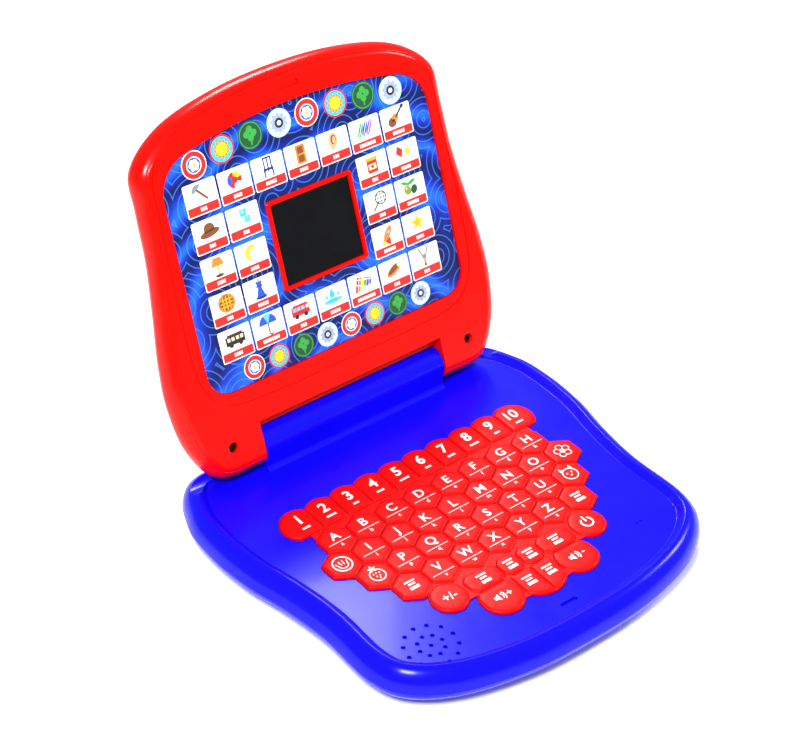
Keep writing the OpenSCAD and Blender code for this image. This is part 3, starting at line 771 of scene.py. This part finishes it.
screen = {"y": 100.3, "w": 52, "h": 45.4, "rim": 2.3, "rimTop": 8.6, "low": 5.6, "top": 7.2}
lidLoop = smoothLoop(mirrored(lid["outline"]))


def boardOutline(inset):
    w, lowR, topR, bow = (board["halfWidth"] - inset, board["lowR"] - inset, board["topR"] - inset,
                          board["bow"] - inset)
    bowY = board["top"] - board["bow"]
    cornerX = w - topR
    cornerY = bowY + math.sqrt((bow - topR) ** 2 - cornerX ** 2)
    lean = math.degrees(math.acos(cornerX / (bow - topR)))
    right = (arc(w - lowR, board["low"] + inset + lowR, lowR, -90, 0, 10)
             + arc(cornerX, cornerY, topR, 0, lean, 12)
             + arc(0, bowY, bow, lean + 1, 90, 14))
    return right[:-1] + [(0, right[-1][1])] + [(-x, y) for x, y in reversed(right[:-1])]


def notchTool(grow):
    # room for the hinge barrel: open in front, and hugging the barrel behind
    half = lid["notchHalf"] + grow
    tool = joined([block((-half, -30, lid["notchStep"] - grow), (half, lid["notchTop"] + grow, 30)),
                   block((-half, -30, -20), (half, 0, 20))], "notchTool")
    carve(tool, roundBar(lid["notchR"] + grow, (-half, 0, 0), (half, 0, 0), "X"), "UNION", crossing=True)
    return tool


def lidHalf(name, section, wall, depth, up):
    # one hollow half of the lid, with walls round the notch that takes the hinge barrel
    gap = lid["seamGap"] / 2 * (1 if up else -1)
    shell = closeBottom(stepIn(face(lidLoop, gap, up=up, name=name), section))
    low, high = (-1, depth) if up else (-depth, 1)
    cavity = prism(insetLoop(lidLoop[::2], wall), low, high, name="cavity")
    carve(cavity, notchTool(lid["notchWall"]), crossing=True)
    carve(shell, cavity)
    carve(shell, notchTool(0), crossing=True)
    return shell


def pinBore(side):
    start, end = (side * (lid["notchHalf"] - 1), 0, 0), (side * lid["pinEnd"], 0, 0)
    return roundBar(lid["pinR"], start, end, "X", corners=40)


def lidFront():
    shell = lidHalf("lidFrontMoulding", lid["front"], lid["wall"], 5, True)
    carve(shell, prism(boardOutline(0), board["floor"], 20))
    line = smoothLoop(mirrored(lid["groove"]))
    groove = prism(line, lid["grooveFloor"], 15)
    carve(groove, prism(insetLoop(line, lid["grooveWidth"]), 5, 20))
    carve(shell, groove)
    w, h, rim = screen["w"], screen["h"], screen["rim"]
    frameBar = prism(rectangle(0, screen["y"], w + 2 * rim, h + 2 * rim, 2.2), 5.8, screen["rimTop"], 0.9)
    carve(shell, frameBar, "UNION")
    carve(shell, prism(rectangle(0, screen["y"], w, h, 1.0), -5, 20))
    for side in (-1, 1):
        x, y = side * lid["screws"][0], lid["screws"][1]
        carve(shell, roundBar(lid["screwR"], (x, y, lid["screwFloor"]), (x, y, 20), corners=40))
        carve(shell, pinBore(side))
    carve(shell, prism(rectangle(*lid["catch"], *lid["catchSize"], 1.65), lid["catchFloor"], 20))
    return place(shell, onLid)


def lidRear():
    shell = lidHalf("lidBackMoulding", smoothSection(lid["back"]), lid["wall"], 6.2, False)
    carve(shell, prism(smoothLoop(mirrored(lid["backPanel"])), -20, -lid["backPanelFloor"]))
    for side in (-1, 1):
        carve(shell, pinBore(side))
    return place(shell, onLid)


def boardSheet():
    sheet = prism(boardOutline(0.3), board["floor"] + 0.01, board["floor"] + board["thick"], 0.15,
                  name="pictureBoard")
    w, h = screen["w"] + 2 * screen["rim"] + 0.5, screen["h"] + 2 * screen["rim"] + 0.5
    carve(sheet, prism(rectangle(0, screen["y"], w, h, 2.3), 0, 20))
    sheet.data.materials.append(printedBoard())
    return place(sheet, onLid)


def screenWindow():
    lens = prism(rectangle(0, screen["y"], screen["w"] - 0.3, screen["h"] - 0.3, 0.9), screen["low"],
                 screen["top"], 0.4, name="screenWindow")
    material, shader = newMaterial("polishedBlackAcrylic", IOR=1.49, Specular_IOR_Level=0.25)
    coords = (addNode(material, "ShaderNodeTexCoord"), "Object")
    variedColour(material, shader, "020203", "060709", 20, coords)
    roughnessFrom(material, shader, grain(material, shader, 4, 0.004, coords, 0.15), 0.05, 0.12)
    lens.data.materials.append(material)
    return place(lens, onLid)


inkOf = {name: screenInk(f"screenInk{name.title()}", colour) for name, colour in {
    "red": "dd1a12", "brown": "7a4320", "darkbrown": "4a2812", "grey": "7e858c", "dark": "1c1d22",
    "yellow": "f7d31a", "blue": "1c4fd0", "sky": "5fb8ee", "green": "2f9a3a", "forest": "0f4a26",
    "skin": "e8a878", "orange": "ef7c1c", "violet": "7a3fb8", "gold": "d9a21b", "navy": "152a7a",
    "olive": "7d8f2a", "ice": "a9dcf4", "cream": "f3dfae", "cyan": "25b7d8",
    "steelblue": "8fa6c2"}.items()}
inkOf["white"] = whiteInk
cards = {"x": -74.1, "y": 149.2, "stepX": 21.35, "stepY": 20.07, "w": 20.06, "h": 17.45, "caption": 4.6,
         "radius": 0.9}
onBoard = onLid @ Matrix.Translation((0, 0, (board["floor"] + board["thick"] - 0.02) * mm))
badges = {"top": [(9, 162.9), (27.6, 162.1), (46, 160.6), (64, 157.9)], "topR": 7.6,
          "low": [(8.1, 43.75), (24.3, 43.75), (40.4, 43.75), (56.6, 43.75)], "lowR": 6.65}


def pictures():
    # each picture is a list of (outline, ink), with (0, 0) in the middle of its card
    wheel = [(oval(x, -2.9, 2.6, 2.6), "dark") for x in (-3, 3)]
    return [
        ("axe", [(strip(0.4, -0.4, 1.3, 10, 42), "brown"), (band(-1.2, 1.4, 2.6, 2.4, 60, 190), "grey")]),
        ("ball", [(oval(0, 0, 9, 9), "red"), (band(0, 0, 3.1, 2.4, 20, 95), "yellow"),
                  (band(0, 0, 3.1, 2.4, 140, 215), "blue"), (band(0, 0, 3.1, 2.4, 260, 335), "white")]),
        ("chair", [(strip(x, 1.6, 0.8, 8), "navy") for x in (-2.2, 0, 2.2)]
         + [(strip(0, 5.2, 5.4, 0.9), "navy"), (strip(0, -1.2, 6.2, 1.3), "navy")]
         + [(strip(x, -3.6, 0.8, 4), "navy") for x in (-2.6, 2.6)]),
        ("door", [(strip(0, 0, 6, 10.6), "orange"), (strip(0, 2.3, 3.8, 3.8), "brown"),
                  (strip(0, -2.5, 3.8, 3.8), "brown"), (oval(2.3, 0, 0.8, 0.8), "yellow")]),
        ("ear", [(oval(0, 0.6, 6, 8.8, -10), "skin"), (oval(0.3, 1, 3.4, 5.4, -10), "brown"),
                 (oval(0.6, 0.8, 2, 4, -10), "skin"), (oval(-0.8, -3.2, 3, 3), "skin")]),
        ("feathers", [(oval(-2.8, 0, 2.5, 10, -25), "green"), (oval(0, 0, 2.5, 10, -25), "blue"),
                      (oval(2.8, 0, 2.5, 10, -25), "violet")]
         + [(strip(x, 0, 0.3, 11, -25), "white") for x in (-2.8, 0, 2.8)]),
        ("guitar", [(oval(-2.6, -2.2, 6, 5.4, 40), "brown"), (oval(-0.4, -0.2, 4.6, 4.2, 40), "orange"),
                    (oval(-1.8, -1.5, 1.8, 1.8), "dark"), (strip(2.4, 2.4, 1, 7, -45), "dark"),
                    (strip(5, 5, 1.8, 2, -45), "dark")]),
        ("hat", [(oval(0, -1.6, 12.4, 4.2, 8), "brown"), (oval(0, 1, 6.6, 6, 8), "brown"),
                 (strip(0, -0.4, 6.4, 1.2, 8), "darkbrown")]),
        ("ice", [(strip(-2, -1.9, 3.9, 3.9, 6), "ice"), (strip(2.3, -1.9, 3.9, 3.9, -6), "sky"),
                 (strip(0.3, 2.1, 3.9, 3.9, 3), "cyan"), (strip(-2.4, -1.5, 1.4, 1.4, 6), "white"),
                 (strip(0, 2.5, 1.4, 1.4, 3), "white")]),
        ("jam", [(strip(0, -1, 6.8, 7), "red"), (strip(0, 3.3, 7.2, 1.8), "gold"),
                 (strip(0, -1, 5, 3.2), "cream"), (oval(0, -1, 2, 2), "red")]),
        ("kites", [(oval(-2.4, 1, 5, 7.4, 15, 4), "red"), (oval(3, 0, 4.2, 6.2, -15, 4), "yellow"),
                   (strip(-3.6, -4.2, 0.3, 4, -10), "blue"), (strip(4, -4, 0.3, 3.4, 12), "green")]),
        ("lamp", [(strip(0, -1.6, 0.9, 6.4), "gold"), (oval(0, -4.8, 5.2, 1.7), "darkbrown"),
                  (taper(0, 2.9, 8, 4.4, 4.6), "orange")]),
        ("moon", [(band(0.4, 0, 3.2, 2.6, 60, 240, 18), "yellow"), (oval(1, 4, 1.2, 1.2, 0, 4), "gold")]),
        ("net", [(band(1, 1.2, 3.6, 0.7, 0, 360), "forest"), (strip(-3.1, -3.2, 0.9, 5, -44), "brown")]
         + [(strip(1 + i, 1.2, 0.3, 6.6), "forest") for i in (-2, 0, 2)]
         + [(strip(1, 1.2 + i, 6.6, 0.3), "forest") for i in (-2, 0, 2)]),
        ("olives", [(oval(-2, -1, 4.4, 5.6, 20), "olive"), (oval(2.4, -1.6, 4.2, 5.2, -15), "forest"),
                    (oval(1.2, 3, 6, 2, 20), "green"), (oval(-3.2, 3.2, 5, 1.8, -25), "green"),
                    (oval(-2.6, 0.2, 1, 1.4), "cream")]),
        ("pie", [(oval(0, 0, 10.6, 10.6), "orange"), (oval(0, 0, 8.6, 8.6), "brown")]
         + [(strip(i, 0, 0.8, 7.6), "gold") for i in (-2, 0, 2)]
         + [(strip(0, i, 7.6, 0.8), "gold") for i in (-2, 0, 2)]),
        ("queen", [(oval(0, -4.6, 7, 2.2), "navy"), (taper(0, -1.4, 5.4, 1.8, 5.6), "blue"),
                   (strip(0, 1.6, 4, 0.9), "navy"), (taper(0, 3.1, 2.4, 4.4, 2.6), "blue"),
                   (spiky(0, 5, 1.3, 0.6, 5), "gold")]),
        ("rocket", [(taper(0, -3, 6.4, 2.4, 3.4, -35), "red"), (oval(0.6, 0.8, 3.8, 9.4, -35), "orange"),
                    (oval(1.1, 1.6, 1.8, 1.8), "sky"), (oval(-3, -4.2, 1.8, 3.4, -35), "yellow")]),
        ("star", [(spiky(0, 0, 5.6, 2.3, 5), "yellow"), (spiky(0, 0, 3.4, 1.4, 5), "gold")]),
        ("tram", [(strip(0, -0.4, 12, 5), "dark"), (strip(0, 2.6, 9.6, 1.2), "darkbrown")] + wheel
         + [(strip(x, 0.4, 1.8, 2), "cream") for x in (-4, -1.4, 1.4, 4)]),
        ("umbrella", [(band(0, 0.4, 2.8, 5.5, 0, 180), "blue"), (strip(0, -1.8, 0.7, 6.4), "dark"),
                      (band(1, -4.9, 1, 0.7, 180, 360, 8), "dark"),
                      (band(0, 0.4, 2.8, 5.5, 65, 115, 8), "sky")]),
        ("van", [(strip(0, 0, 11.4, 5.4), "red"), (strip(0, 3, 9.4, 1.2), "red")] + wheel
         + [(strip(x, 1.2, 2.2, 2), "sky") for x in (-3.8, -1.1, 1.6)]
         + [(strip(4.4, 1.2, 1.6, 2), "ice")]),
        ("water", [(oval(0, -2.4, 12, 3), "sky"), (oval(0, -2.2, 8, 1.6), "cyan"),
                   (oval(0, 1.2, 3.4, 3.8), "cyan"), (taper(0, 3.4, 2.8, 0.2, 3), "cyan"),
                   (oval(3.8, 0.6, 1.6, 2.4, -25), "sky"), (oval(-3.8, 0.6, 1.6, 2.4, 25), "sky")]),
        ("xylophone", [(strip(-4.4 + 1.8 * i, 0, 1.4, 9 - i, -18), name)
                       for i, name in enumerate(("red", "orange", "yellow", "green", "blue", "violet"))]
         + [(strip(0, 2, 11.6, 0.5, -12), "white"), (strip(0, -2, 11.6, 0.5, -24), "white")]),
        ("yam", [(oval(0, 0, 11.6, 5, 28), "orange"), (oval(-0.4, 0.4, 9, 3, 28), "brown"),
                 (oval(3.8, 2.1, 3, 3.4, 28), "cream")]),
        ("zip", [(strip(-2, 2.6, 1, 6.4, 25), "grey"), (strip(2, 2.6, 1, 6.4, -25), "grey"),
                 (strip(0, -2.6, 1.2, 6), "dark"), (oval(0, 0, 2.8, 3), "grey"),
                 (strip(0, -2.4, 1.6, 2.6), "gold")]),
    ]


def cardPlaces():
    spots = [(i, j) for j in range(5) for i in range(7) if not (2 <= i <= 4 and 1 <= j <= 3)]
    return [(cards["x"] + i * cards["stepX"], cards["y"] - j * cards["stepY"]) for i, j in spots]


def cardSet():
    sheets, drawings = [], []
    for (left, top), (name, shapes) in zip(cardPlaces(), pictures()):
        x, y = left + cards["w"] / 2, top - cards["h"] / 2
        sheets.append(printed(rectangle(x, y, cards["w"], cards["h"], cards["radius"], 3), whiteInk))
        low = top - cards["h"] + 0.55 + cards["caption"] / 2
        label = rectangle(x, low, cards["w"] - 1.1, cards["caption"], 0.5, 2)
        sheets.append(printed(label, inkOf["red"], 1))
        # plain bars in the place of the word
        for i in range(len(name)):
            bar = strip(x + (i - (len(name) - 1) / 2) * 1.35, low, 0.95, 1.9)
            drawings.append(printed(bar, whiteInk, 2))
        for layer, (points, ink) in enumerate(shapes):
            shifted = [(x + px, y + cards["caption"] / 2 + 0.2 + py * 0.97) for px, py in points]
            drawings.append(printed(shifted, inkOf[ink], 1 + layer))
    return place(joined(sheets, "pictureCards"), onBoard), place(joined(drawings, "cardPictures"), onBoard)


def badge(x, y, r, design):
    if design == 0:  # flower on red, white and blue
        shapes = [(oval(x, y, 2 * r, 2 * r, 0, 40), "white"),
                  (oval(x, y, 1.86 * r, 1.86 * r, 0, 40), "red"),
                  (oval(x, y, 1.2 * r, 1.2 * r, 0, 40), "white"),
                  (oval(x, y, 1.05 * r, 1.05 * r, 0, 40), "blue")]
        for a in range(0, 360, 60):
            spot = (x + 0.26 * r * math.cos(math.radians(a)), y + 0.26 * r * math.sin(math.radians(a)))
            shapes.append((oval(*spot, 0.34 * r, 0.34 * r, 0, 14), "white"))
        return shapes + [(oval(x, y, 0.26 * r, 0.26 * r, 0, 14), "yellow")]
    if design == 1:  # sun on a cyan disc
        return [(oval(x, y, 2 * r, 2 * r, 0, 40), "red"), (oval(x, y, 1.74 * r, 1.74 * r, 0, 40), "cyan"),
                (spiky(x, y, 0.74 * r, 0.5 * r, 12), "orange"),
                (oval(x, y, 0.92 * r, 0.92 * r, 0, 30), "yellow")]
    if design == 2:  # clover on a dark disc
        shapes = [(oval(x, y, 2 * r, 2 * r, 0, 40), "forest"),
                  (band(x, y, 0.88 * r, 0.08 * r, 0, 360, 40), "green"),
                  (strip(x, y - 0.4 * r, 0.12 * r, 0.6 * r), "green")]
        for a in (0, 90, 180, 270):
            spot = (x + 0.3 * r * math.cos(math.radians(a)),
                    y + 0.12 * r + 0.3 * r * math.sin(math.radians(a)))
            shapes.append((oval(*spot, 0.5 * r, 0.5 * r, 0, 18), "green"))
        return shapes
    shapes = [(oval(x, y, 2 * r, 2 * r, 0, 40), "ice"), (oval(x, y, 1.78 * r, 1.78 * r, 0, 40), "white"),
              (spiky(x, y, 0.8 * r, 0.58 * r, 10), "steelblue"),
              (oval(x, y, 0.7 * r, 0.7 * r, 0, 24), "dark"),
              (oval(x, y, 0.34 * r, 0.34 * r, 0, 18), "white")]
    return shapes  # cog on a white disc


def badgeSet():
    shapes = []
    for row, r in (("top", badges["topR"]), ("low", badges["lowR"])):
        spots = [(-x, y) for x, y in reversed(badges[row])] + badges[row]
        for i, (x, y) in enumerate(spots):
            for layer, (points, ink) in enumerate(badge(x, y, r, i % 4)):
                shapes.append(printed(points, inkOf[ink], layer))
    return place(joined(shapes, "boardBadges"), onBoard)


fixedCaps = []
for number, key in enumerate(keys):
    cap = place(makeKey(key, number), onBase)
    if key["node"]:
        cap.name = cap.data.name = "keyCap_" + key["node"].removeprefix("key_")
        finish(cap, key["node"], "red_rubber", key["node"])
    else:
        fixedCaps.append(cap)
finish(joined(fixedCaps, "fixedKeyCaps"), "base", "red_rubber", "mode_keys")
web = keypadShape(keypad["webEdge"], keypad["fixedBottom"], keypad["webTop"], keypad["fillers"])
carve(web, keypadShape(keypad["webGrow"], 15, 30, []), crossing=True)
web.name = web.data.name = "keypadWeb"
giveFinish(web, redSilicone)
finish(place(web, onBase), "base", "red_rubber")
print("keys made")

deck = deckShell()
carve(deck, keypadShape(keypad["deckGrow"], 15, 30, keypad["fillers"]), crossing=True)
giveFinish(deck, blueAbs)
place(deck, onBase)
smooth(deck)
finish(deck, "base", "blue_case", "deck_shell")
tray = place(traySheet(), onBase)
giveFinish(tray, blueAbs)
smooth(tray)
finish(tray, "base", "blue_case", "base_tray")
print("base made")

for piece, node in ((lidFront(), "lid_bezel"), (lidRear(), "lid_back")):
    giveFinish(piece, redAbs)
    smooth(piece)
    finish(piece, "lid", "red_case", node)
finish(boardSheet(), "lid", "printed_board", "picture_panel")
finish(screenWindow(), "lid", "screen", "screen_lens")
for piece in cardSet():
    finish(piece, "lid", "printed_board")
finish(badgeSet(), "lid", "printed_board")
print("lid made")

for node, material in {
        "keypad_mat": redSilicone, "key_board": boardGreen, "speaker": darkCard, "battery_door": blueAbs,
        "door_screw": steel, "batteries": cellJacket, "battery_contacts": steel,
        "rubber_feet": footRubber, "base_screws": steel, "base_wires": wireSleeve,
        "hinge_pins": steel, "lcd_module": boardGreen,
        "lid_screws": blackSteel, "lid_wires": wireSleeve}.items():
    giveFinish(frame["nodes"][node], material)


room = {
    "glow": 0.5, "aim": (0, 0, 0.08),
    # where each softbox stands in metres, its side in metres and its power in watts
    "softboxes": {"keySoftbox": ((-0.7, -0.5, 1.1), 0.3, 27), "backSoftbox": ((0.5, 0.9, 1.0), 0.4, 17),
                  "rightSoftbox": ((1.1, -0.3, 0.8), 0.3, 10)},
}


def studio():
    bpy.ops.object.select_all(action="DESELECT")
    bpy.ops.mesh.primitive_plane_add(size=8)
    floor = bpy.context.object
    floor.name = "studioFloor"
    material, shader = newMaterial("paleStudioPaper", Roughness=0.85)
    coords = (addNode(material, "ShaderNodeTexCoord"), "Object")
    variedColour(material, shader, "f4f4f4", "fafafa", 300, coords)
    floor.data.materials.append(material)
    world = bpy.data.worlds.new("studioRoom")
    scene.world = world
    world.use_nodes = True
    world.node_tree.nodes["Background"].inputs["Color"].default_value = linear("ffffff")
    world.node_tree.nodes["Background"].inputs["Strength"].default_value = room["glow"]
    for name, (at, size, power) in room["softboxes"].items():
        lamp = bpy.data.lights.new(name, "AREA")
        lamp.energy, lamp.size = power, size
        holder = bpy.data.objects.new(name, lamp)
        scene.collection.objects.link(holder)
        holder.location = at
        holder.rotation_euler = (Vector(room["aim"]) - Vector(at)).to_track_quat("-Z", "Y").to_euler()


def cameraAt(position, right, up, lens):
    data = bpy.data.cameras.new("productCamera")
    data.lens, data.sensor_width = lens, 36
    camera = bpy.data.objects.new("productCamera", data)
    scene.collection.objects.link(camera)
    right, up = Vector(right).normalized(), Vector(up).normalized()
    back = right.cross(up)
    camera.matrix_world = Matrix.Translation(position) @ Matrix((right, up, back)).transposed().to_4x4()
    scene.camera = camera


studio()
cameraAt((-0.6150, -0.6844, 0.8103), (0.77389, -0.63176, 0.04443), (0.36256, 0.49946, 0.78682), 100.95)
print("studio made")
